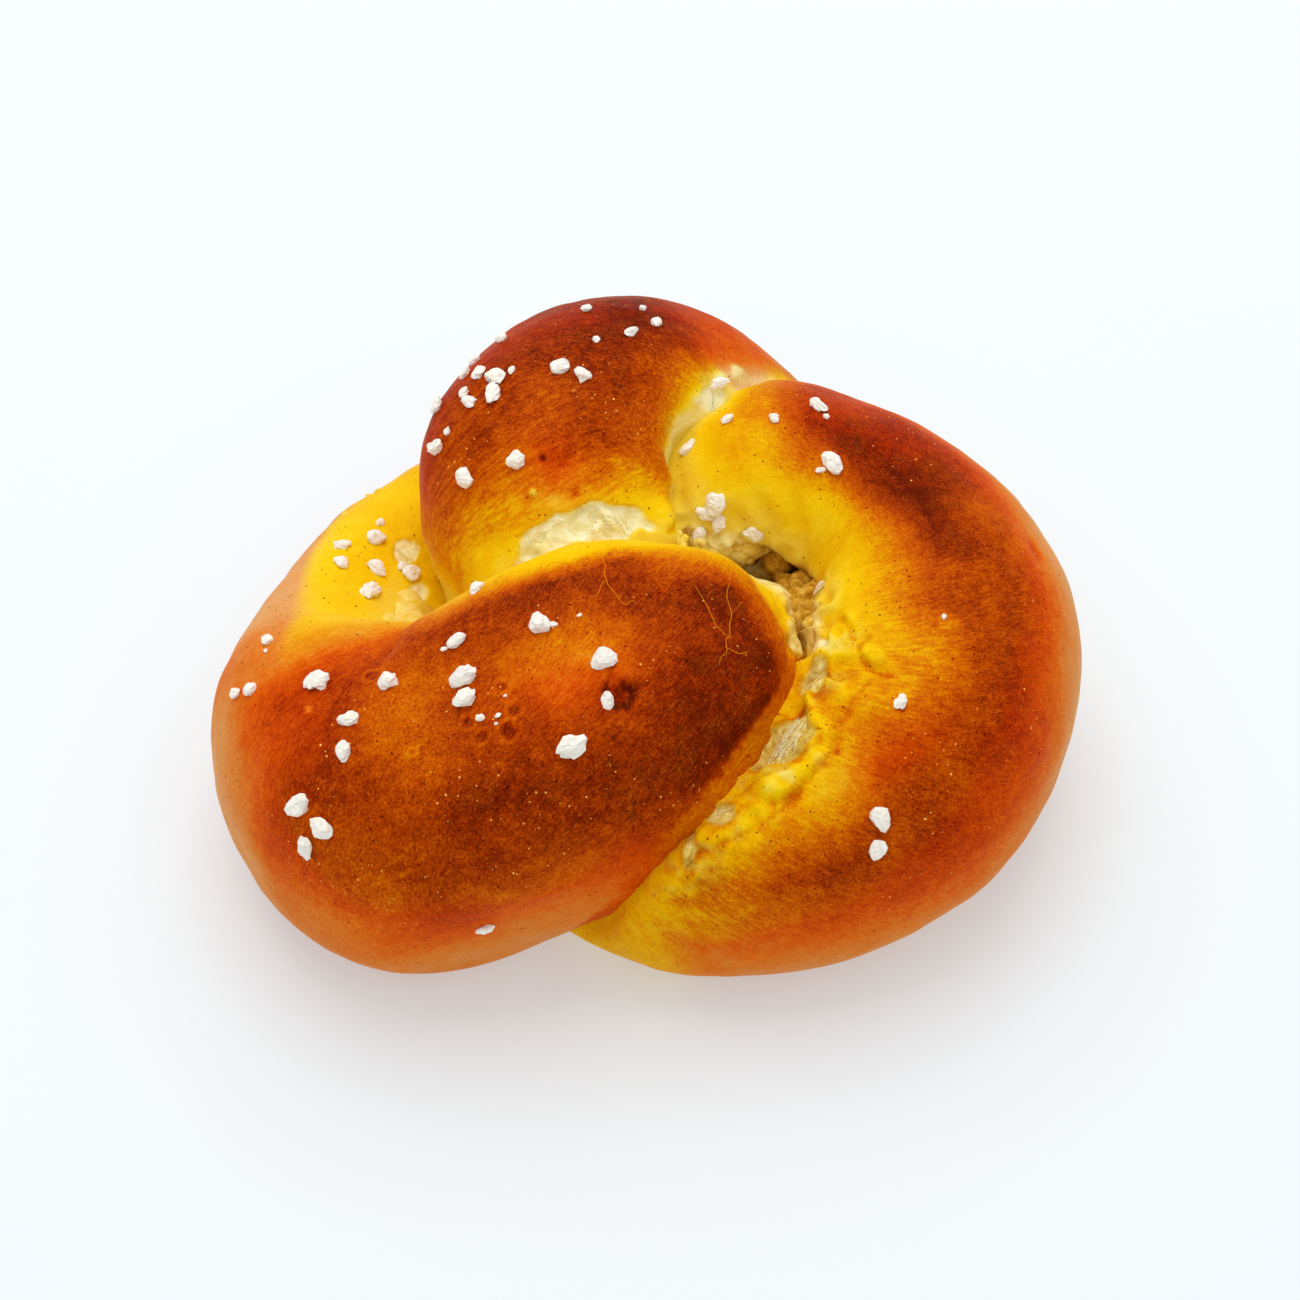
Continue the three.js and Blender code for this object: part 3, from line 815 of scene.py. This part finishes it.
def heart():
    """An ellipsoid's upper half, half sizes * ball, on rings from its top down to the tray, closed by a flat
    floor of rings that shrink towards its centre."""
    dome = ball(np.linspace(0, np.pi / 2, HEART_RINGS + 1)[1:], HEART_SPOKES)
    floor = dome[-1] * np.linspace(0.96, 0.1, FLOOR_RINGS)[:, None, None] * (1, 1, 0)
    shape = np.concatenate([dome.reshape(-1, 3), floor.reshape(-1, 3), [(0, 0, 1), (0, 0, 0)]])
    return shape * HEART_HALF + HEART_CENTRE - MIDDLE


def plain_fields(vertices, bake, torn):
    """The crust's fields for a piece that is neither flushed nor stretched."""
    still = np.zeros(len(vertices))
    return {"bake": bake, "torn": still + torn, "flush": still, "stretch": vertices / 2, "lined": still + 0.1}


vertices = heart()
lay("heart", vertices, closed_grid(HEART_RINGS + FLOOR_RINGS, HEART_SPOKES), CRUST, "crust",
    plain_fields(vertices, base_bake(vertices), 0))

# ---- Torn crumb ----------------------------------------------------------------------------------------
# Soft knobs of milk crumb: in the pit where the three bends tore apart, in the hollow where the thin strand
# dives under the top bend, and a few rubbed off on the strand's outer edge.

PIT_KNOBS = (  # x, y, z and radius in mm, how browned, and how much of it is bare crumb
    (16.4, 8.6, 25.4, 1.9, .42, .8), (17.4, 4.6, 24.8, 2.1, .44, .9), (19.0, 4.4, 25.4, 2.2, .42, .9),
    (18.6, 1.5, 26.0, 2.0, .40, .9), (18.8, -0.8, 26.8, 1.9, .38, .9), (19.4, -3.8, 27.8, 1.8, .34, .9),
    (20.4, 1.2, 27.2, 1.9, .38, .9), (12.6, 9.4, 27.4, 2.3, .24, .7), (11.0, 8.6, 27.6, 2.0, .22, .7),
    (9.2, 8.4, 28.8, 1.9, .18, .6), (7.8, 7.0, 28.4, 1.6, .24, .7), (6.2, 7.8, 29.6, 1.4, .18, .6),
    (15.4, 10.6, 26.2, 1.8, .20, .6), (20.8, -1.6, 28.0, 1.5, .34, .8), (20.2, -5.6, 29.2, 1.4, .28, .8),
    (3.2, 5.4, 32.6, 1.6, .16, .2),
)
SKIN_KNOBS = {  # the same on a bend's skin: row, angle, radius, how browned, how bare
    "front": (
        (2.84, 120, 2.8, .18, .5), (2.88, 129, 3.2, .26, .5), (2.98, 119, 3.4, .16, .5),
        (3.06, 130, 3.4, .22, .5), (3.18, 121, 3.6, .18, .5), (3.28, 130, 3.4, .20, .5),
        (3.40, 122, 3.0, .18, .4), (1.85, 50, .7, .24, .3), (1.93, 47, .5, .20, .3), (2.27, 52, .6, .22, .3),
        (2.2, 48, .5, .26, .3),
    ),
}
KNOB_RINGS, KNOB_SPOKES = 12, 20
SMALL_KNOB = 2  # mm of radius, past which a knob sits deeper in the skin
SUNK_SMALL, SUNK_LARGE = 0.5, 0.78  # how far its middle lies under the skin, as a share of its radius
CRUMBS_PER_KNOB = 3  # smaller knobs stuck to each


def spot_on(name, row, angle):
    """A point on a bend's skin, and the outward, along and round directions there."""
    points, normals = skins[name]
    rows, angles = surfaces[name][1:3]
    i = np.clip(abs(rows[:, 0] - row).argmin(), 1, len(rows) - 2)
    j = abs(angles[0] - angle).argmin()
    along = unit(points[i + 1, j] - points[i - 1, j])
    return points[i, j], normals[i, j], along, np.cross(normals[i, j], along)


def knobs_of_crumb():
    """All the knobs: balls whose radius swells and sinks by up to a quarter with lumps of about their own
    radius, and smaller ones stuck to each. Returns points, the number of balls, and how browned and how bare
    each point is."""
    rng = np.random.default_rng(5)
    knobs = [(*(np.array(knob[:3]) - MIDDLE), *knob[3:]) for knob in PIT_KNOBS]
    for name, on_skin in SKIN_KNOBS.items():
        for row, angle, radius, browned, bare in on_skin:
            spot, up, *_ = spot_on(name, row, angle)
            sunk = radius * (SUNK_LARGE if radius > SMALL_KNOB else SUNK_SMALL)
            knobs.append((*(spot - sunk * up), radius, browned, bare))
    knobs = np.array(knobs)
    crumbs = np.repeat(knobs, CRUMBS_PER_KNOB, 0)
    crumbs[:, :3] += unit(rng.normal(size=(len(crumbs), 3)) + (0, 0, 0.5)) * crumbs[:, 3:4] * 0.8
    crumbs[:, 3] *= rng.uniform(0.25, 0.5, len(crumbs))
    knobs = np.concatenate([knobs, crumbs])
    way = ball(np.linspace(0, np.pi, KNOB_RINGS + 2)[1:-1], KNOB_SPOKES).reshape(-1, 3)
    way = np.concatenate([way, [(0, 0, 1), (0, 0, -1)]])
    centre, radius = knobs[:, None, :3], knobs[:, None, 3:4]
    swell = 1 + 0.24 * lumps((centre + way * radius) / radius, 0.9, 51, 2)
    vertices = centre + way * radius * swell[..., None]
    return vertices.reshape(-1, 3), len(knobs), *np.repeat(knobs[:, 4:], len(way), 0).T


vertices, count, browned, bare = knobs_of_crumb()
lay("crumb_knobs", vertices, closed_grid(KNOB_RINGS, KNOB_SPOKES, count), CRUST, "crumb",
    plain_fields(vertices, browned, bare))

# ---- Gluten threads ------------------------------------------------------------------------------------
# Where the crumb is pulled open, the gluten draws out into pale threads a tenth of a millimetre thick, taut
# across the tear. They show at their true thickness.

THREADS = {  # (row, angle, half length, half width in mm, slant, threads, their way in degrees)
    "back": (
        (13.93, 108, 2.0, 5.0, 6, 60, 50), (13.97, 88, 1.7, 4.6, 30, 45, 50),
        (14.13, 70, 1.3, 4.0, 40, 30, 50),
    ),
    "right": (
        (17.96, 87, 3.9, 3.5, 0, 110, 32), (18.42, 108, 2.1, 2.6, 0, 30, 40),
        (17.46, 62, 2.0, 1.5, 0, 20, 30),
    ),
    "front": ((3.1, 128, 3.5, 2.0, 0, 12, 60), (2.46, 103, 2.6, 1.8, 0, 14, 90)),
}
THREAD_RADIUS = 0.05  # mm
THREAD_STATIONS, TUBE_SIDES = 8, 5


def tubes(lines, radius):
    """Thin tubes along many lines at once, an array of lines by stations by 3: round each station TUBE_SIDES
    points at radius * (cos a * side + sin a * up), tapering at both ends. Returns points and faces."""
    heading = unit(np.gradient(lines, axis=1))
    side = unit(np.cross(heading, (0.3, 0.2, 1)))
    up = np.cross(side, heading)
    stations = lines.shape[1]
    taper = np.sqrt(np.clip(1 - np.linspace(-1, 1, stations + 2)[1:-1] ** 4, 0.05, 1))
    spin = np.linspace(0, 2 * np.pi, TUBE_SIDES, endpoint=False)[:, None]
    ring = np.cos(spin) * side[:, :, None] + np.sin(spin) * up[:, :, None]
    wall = lines[:, :, None] + ring * (radius * taper)[:, None, None]
    vertices = np.concatenate([wall.reshape(len(lines), -1, 3), lines[:, [0, -1]]], 1).reshape(-1, 3)
    return vertices, closed_grid(stations, TUBE_SIDES, len(lines))


def drawn_threads(rng, name, row, angle, long, wide, slant, count, way):
    """Threads across one oval tear: each runs from a random place inside it along the threads' way, give or
    take 22 degrees, for 1.5 to 4.5 mm. It is drawn taut between the skin under its two ends, clears most of
    the crumb between them, and is lifted in its middle as 4 t (1 - t)."""
    centre, up, along, across = spot_on(name, row, angle)
    u, v = turned(along, across, slant)
    spin, reach = rng.uniform(0, 2 * np.pi, count), np.sqrt(rng.uniform(0, 0.9, count))
    start = np.stack([np.cos(spin) * reach * long, np.sin(spin) * reach * wide], -1)
    heading = np.radians(way + rng.normal(0, 22, count))
    length = rng.uniform(1.5, 4.5, count)[:, None]
    step = np.stack([np.cos(heading), np.sin(heading)], -1) * length / 2
    t = np.linspace(0, 1, THREAD_STATIONS)[None, :, None]
    flat = start[:, None] + (2 * t - 1) * step[:, None]
    flat = flat + 0.05 * rng.normal(size=(count, 1, 2)) * np.sin(2 * np.pi * t)
    inside = (flat[..., 0] / long) ** 2 + (flat[..., 1] / wide) ** 2
    lift = 0.3 * rng.uniform(0.2, 1, (count, 1, 1)) * 4 * t * (1 - t) - 0.03
    line = centre + flat[..., :1] * u + flat[..., 1:] * v
    skin = skins[name][0].reshape(-1, 3)
    skin = skin[np.linalg.norm(skin - centre, axis=1) < 1.6 * max(long, wide)]
    below = skin[((line[..., None, :] - skin) ** 2).sum(-1).argmin(-1)]
    height = ((below - line) @ up)[..., None]
    taut = height[:, :1] * (1 - t) + height[:, -1:] * t
    clear = np.percentile(height - taut, 65, axis=1, keepdims=True)
    return (line + (taut + clear + lift) * up)[inside.max(1) < 1.02]


def gluten_material():
    """Gluten threads in fresh milk bread: creamy, soft and a little glossy where they stretch."""
    material, tree, shader = new_material("drawn gluten", Roughness=0.5, Specular_IOR_Level=0.2)
    place = add(tree, "TexCoord", "Object")
    cloud = add(tree, "TexNoise", Vector=place, Scale=1 / (2.5 * MM), Detail=3)
    colour = add(tree, "ValToRGB", in0=cloud, stops=((0.3, "#f0dc90"), (0.65, "#f8ecb8")))
    tree.links.new(colour, shader.inputs["Base Color"])
    return material


rng = np.random.default_rng(7)
strands = np.concatenate([drawn_threads(rng, name, *tear) for name in THREADS for tear in THREADS[name]])
lay("gluten_threads", *tubes(strands, THREAD_RADIUS), gluten_material(), "crumb")

# ---- Creases in the glaze ------------------------------------------------------------------------------
# As the roll cooled and its crust shrank, the film of dried egg buckled into hair-fine creases. They are the
# egg glaze itself, golden, and a tenth of a millimetre wide.

CREASES = {  # each crease as (row, angle) places along it
    "front": (
        ((7.34, 100), (7.20, 87), (7.15, 78), (7.08, 72), (7.04, 68), (6.97, 63)),
        ((7.07, 94), (7.07, 84), (7.05, 77), (7.08, 72)),
        ((6.75, 116), (6.70, 108), (6.67, 104), (6.69, 96), (6.76, 94)),
        ((6.45, 118), (6.62, 112), (6.75, 114), (6.90, 110)), ((6.67, 104), (6.55, 101)),
        ((7.04, 68), (7.15, 64)),
    ),
}
CREASE_RADIUS = 0.055  # mm
CREASE_STATIONS = 24


def crease_line(name, corners):
    """Smooth points along one crease: straight in rows and angles between its corners, with a little wander
    of 0.9 degrees, and laid on the skin by weighing the four grid points round each."""
    t = np.linspace(0, len(corners) - 1, CREASE_STATIONS)
    row, angle = (np.interp(t, np.arange(len(corners)), values) for values in zip(*corners))
    angle += 0.9 * np.sin(t * 5 + 3 * corners[0][0])
    rows, angles = surfaces[name][1:3]
    order = angles[0].argsort()
    ring = skins[name][0][:, order]
    by_row = np.interp(row, rows[:, 0], np.arange(len(rows)))
    by_angle = np.interp(angle, angles[0][order], np.arange(len(order)))
    i, j = by_row.astype(int), by_angle.astype(int)
    u, v = (by_row - i)[:, None], (by_angle - j)[:, None]
    return ((1 - u) * (1 - v) * ring[i, j] + u * (1 - v) * ring[i + 1, j]
            + (1 - u) * v * ring[i, j + 1] + u * v * ring[i + 1, j + 1])


creases = np.stack([crease_line(name, corners) for name in CREASES for corners in CREASES[name]])
# Buckled egg film is thin, golden and clearer than the crust under it.
egg_film, *_ = new_material("creased egg film", Base_Color=linear("#e88408"), Roughness=0.5,
                            Specular_IOR_Level=0.02)
lay("glaze_creases", *tubes(creases, CREASE_RADIUS), egg_film, "crust")

# ---- Pearl sugar ---------------------------------------------------------------------------------------
# Nibs of pressed white sugar, 0.5 to 4 mm, thrown on the wet egg wash before baking, which glues them down.
# They don't melt in the oven, and stay white and sharp.

SUGAR = {  # bend: (row of the rope, angle round it, length and width in mm, turn in degrees)
    "front": (
        (5.22, 92, 2.7, 2.4, 20), (5.70, 102, 2.8, 1.9, 0), (5.62, 101, 1.0, .7, 0), (5.68, 89, 3.6, 2.7, 10),
        (5.66, 81, 3.0, 2.4, 40), (6.18, 98, 2.9, 2.6, 0), (6.27, 97, 1.2, .7, 0), (6.45, 79, 3.4, 2.7, 20),
        (6.37, 66, 2.6, 1.6, 80), (6.1, 56, 3.9, 2.8, 10), (4.96, 74, 2.8, 2.0, 60), (5.0, 64, 2.5, 2.1, 110),
        (4.48, 75, 2.9, 2.5, 30), (4.44, 72, 2.7, 2.0, 150), (3.86, 61, 2.6, 1.5, 20),
        (4.16, 52, 2.2, 2.0, 0), (4.08, 45, 2.1, 1.6, 30), (4.84, 42, 3.4, 3.0, 50),
        (4.95, 39.5, 3.4, 2.6, 10), (4.88, 30.5, 3.2, 2.2, 90), (5.35, -9, 2.4, 1.7, 0),
        (2.3, 78, 1.4, 1.2, 0), (2.49, 82, 2.8, 2.4, 0), (2.67, 69, 2.4, 1.7, 120), (2.86, 73, 2.3, 1.9, 60),
        (2.76, 92, 2.8, 2.0, 80), (3.02, 93, 3.5, 2.3, 150), (2.62, 113, 2.8, 2.4, 0),
        (2.60, 105, 1.6, 1.4, 0), (5.71, 74, 1.3, .9, 10), (5.8, 72, .9, .6, 0), (6.44, 96, .7, .5, 0),
        (3.96, 61, .8, .6, 0), (5.86, 78, .5, .4, 0), (5.78, 70, .5, .4, 0), (5.89, 121, 2.2, 1.7, 40),
    ),
    "back": (
        (12.47, 73, 2.2, 1.4, 0), (12.71, 92, 1.2, 1.0, 0), (12.51, 98, 2.5, 1.4, 0),
        (12.22, 86, 1.2, 1.1, 0), (12.27, 96, 1.7, 1.5, 30), (12.79, 52, 1.9, 1.8, 0),
        (12.9, 44, 2.0, 1.9, 0), (12.97, 89, 3.0, 2.2, 150), (12.98, 99, 2.4, 2.0, 60),
        (12.99, 46, 2.2, 1.6, 0), (13.03, 56, 2.8, 1.7, 10), (13.06, 64, 3.2, 2.3, 60),
        (13.03, 70, 1.4, 1.0, 0), (13.11, 52, 1.8, 1.5, 0), (13.16, 56, 2.4, 1.8, 60),
        (13.15, 65, 3.3, 2.2, 0), (13.11, 38, 2.2, 2.1, 0), (13.26, 46, 1.2, 1.0, 0),
        (13.31, 40, 2.7, 2.2, 60), (13.52, 52, 2.9, 2.4, 40), (13.48, 75, 2.6, 2.4, 0),
        (11.8, 116, 2.7, 1.5, 80),
    ),
    "right": (
        (22.11, 88, 2.3, 1.4, 20), (22.34, 87, 3.0, 1.7, 0), (21.92, 92, 1.7, 1.4, 130),
        (21.73, 78, 2.8, 1.9, 160), (21.67, 84, 1.0, .9, 0), (21.52, 106, 4.0, 2.5, 150),
        (21.59, 112, 1.6, .8, 40), (22.35, 122, 3.3, 3.0, 0), (22.5, 120, 2.8, 1.8, 90),
        (22.42, 128, 2.6, 1.8, 20), (22.02, 148, 2.6, 2.3, 0), (22.68, 125, 2.1, 1.9, 0),
        (19.96, 140, 3.5, 1.4, 120), (18.25, 44, 3.3, 2.5, 110), (18.19, 34, 2.9, 2.4, 20),
        (18.71, 76, 2.2, 1.5, 20), (19.35, 83, .8, .6, 0),
    ),
}
STANDS_OFF = 0.16  # how far a nib's middle stands off the crust, as a share of its width
NIB_RINGS, NIB_SPOKES = 7, 14
NIB_HALF = (0.52, 0.52, 0.38)  # half length, width and height, as shares of its length, width and width


def nib(rng, length, width):
    """One sugar nib: a ball whose radius is 0.74 plus eight knobs, each 0.34 * max(0, cosine of the angle to
    the knob)^6, and a little roughness, stretched to the nib's half sizes."""
    way = ball(np.linspace(0, np.pi, NIB_RINGS + 2)[1:-1], NIB_SPOKES)
    knobs = unit(rng.normal(size=(8, 3)))
    radius = 0.74 + 0.34 * (np.maximum(way @ knobs.T, 0) ** 6).max(-1)
    radius = radius * (1 + 0.07 * rng.normal(size=radius.shape))
    points = np.concatenate([(way * radius[..., None]).reshape(-1, 3), [(0, 0, 0.8), (0, 0, -0.8)]])
    return points * NIB_HALF * (length, width, width)


def sugar_nibs():
    """All the nibs: each is turned in its place on the skin and sunk a little. Returns points and faces."""
    rng = np.random.default_rng(11)
    nibs = []
    for name in SUGAR:
        for row, angle, length, width, turn in SUGAR[name]:
            spot, up, along, across = spot_on(name, row, angle)
            axes = np.stack([*turned(along, across, turn), up])
            nibs.append(nib(rng, length, width) @ axes + spot + up * width * STANDS_OFF)
    return np.concatenate(nibs), closed_grid(NIB_RINGS, NIB_SPOKES, len(nibs))


def sugar_material():
    """Pressed white sugar: matt and grainy, a little rosy in its shade from the crust under it."""
    material, tree, shader = new_material("pearl sugar", Roughness=0.5)
    place = add(tree, "TexCoord", "Object")
    grain = add(tree, "TexNoise", Vector=place, Scale=1 / (0.5 * MM), Detail=3, Roughness=0.6)
    colour = add(tree, "ValToRGB", in0=grain, stops=((0.3, "#efe5d4"), (0.7, "#fcf8ee")))
    tree.links.new(colour, shader.inputs["Base Color"])
    tree.links.new(add(tree, "Bump", Height=grain, Strength=0.4, Distance=0.2 * MM), shader.inputs["Normal"])
    return material


lay("pearl_sugar", *sugar_nibs(), sugar_material(), "sugar", smooth=False)

# ---- Table and light -----------------------------------------------------------------------------------
# A sheet of matt white painted board, far wider than the roll, under one large softbox above and behind it,
# in a studio with pale walls all round.

TABLE_HALF = 2.0  # m
SOFTBOX_PLACE, SOFTBOX_AIM = Vector((-0.06, 0.33, 0.9)), Vector((0, 0, 0.02))
SOFTBOX_SIDE, SOFTBOX_POWER = 0.8, 4.8  # m and W

mesh = bpy.data.meshes.new("table")
corners = [(x * TABLE_HALF, y * TABLE_HALF, 0) for x, y in ((-1, -1), (1, -1), (1, 1), (-1, 1))]
mesh.from_pydata(corners, [], [(0, 1, 2, 3)])
# Matt white paint. It glows a little, as if lit from all round, so that it stays pale to its far edge.
paint, *_ = new_material("matt white table", Base_Color=linear("#c3c7c8"), Roughness=0.8,
                         Emission_Color=linear("#f4fafc"), Emission_Strength=0.352)
mesh.materials.append(paint)
table = bpy.data.objects.new("table", mesh)
bpy.context.scene.collection.objects.link(table)

softbox = bpy.data.lights.new("overhead softbox", "AREA")
softbox.shape, softbox.size, softbox.energy = "SQUARE", SOFTBOX_SIDE, SOFTBOX_POWER
lamp = bpy.data.objects.new("overhead softbox", softbox)
bpy.context.scene.collection.objects.link(lamp)
lamp.location = SOFTBOX_PLACE
lamp.rotation_euler = (SOFTBOX_AIM - SOFTBOX_PLACE).to_track_quat("-Z", "Y").to_euler()

world = bpy.data.worlds.new("studio")
bpy.context.scene.world = world
world.use_nodes = True
world.node_tree.nodes["Background"].inputs["Color"].default_value = linear("#f4f7fa")
world.node_tree.nodes["Background"].inputs["Strength"].default_value = 0.78
bpy.context.scene.view_settings.view_transform = "Standard"
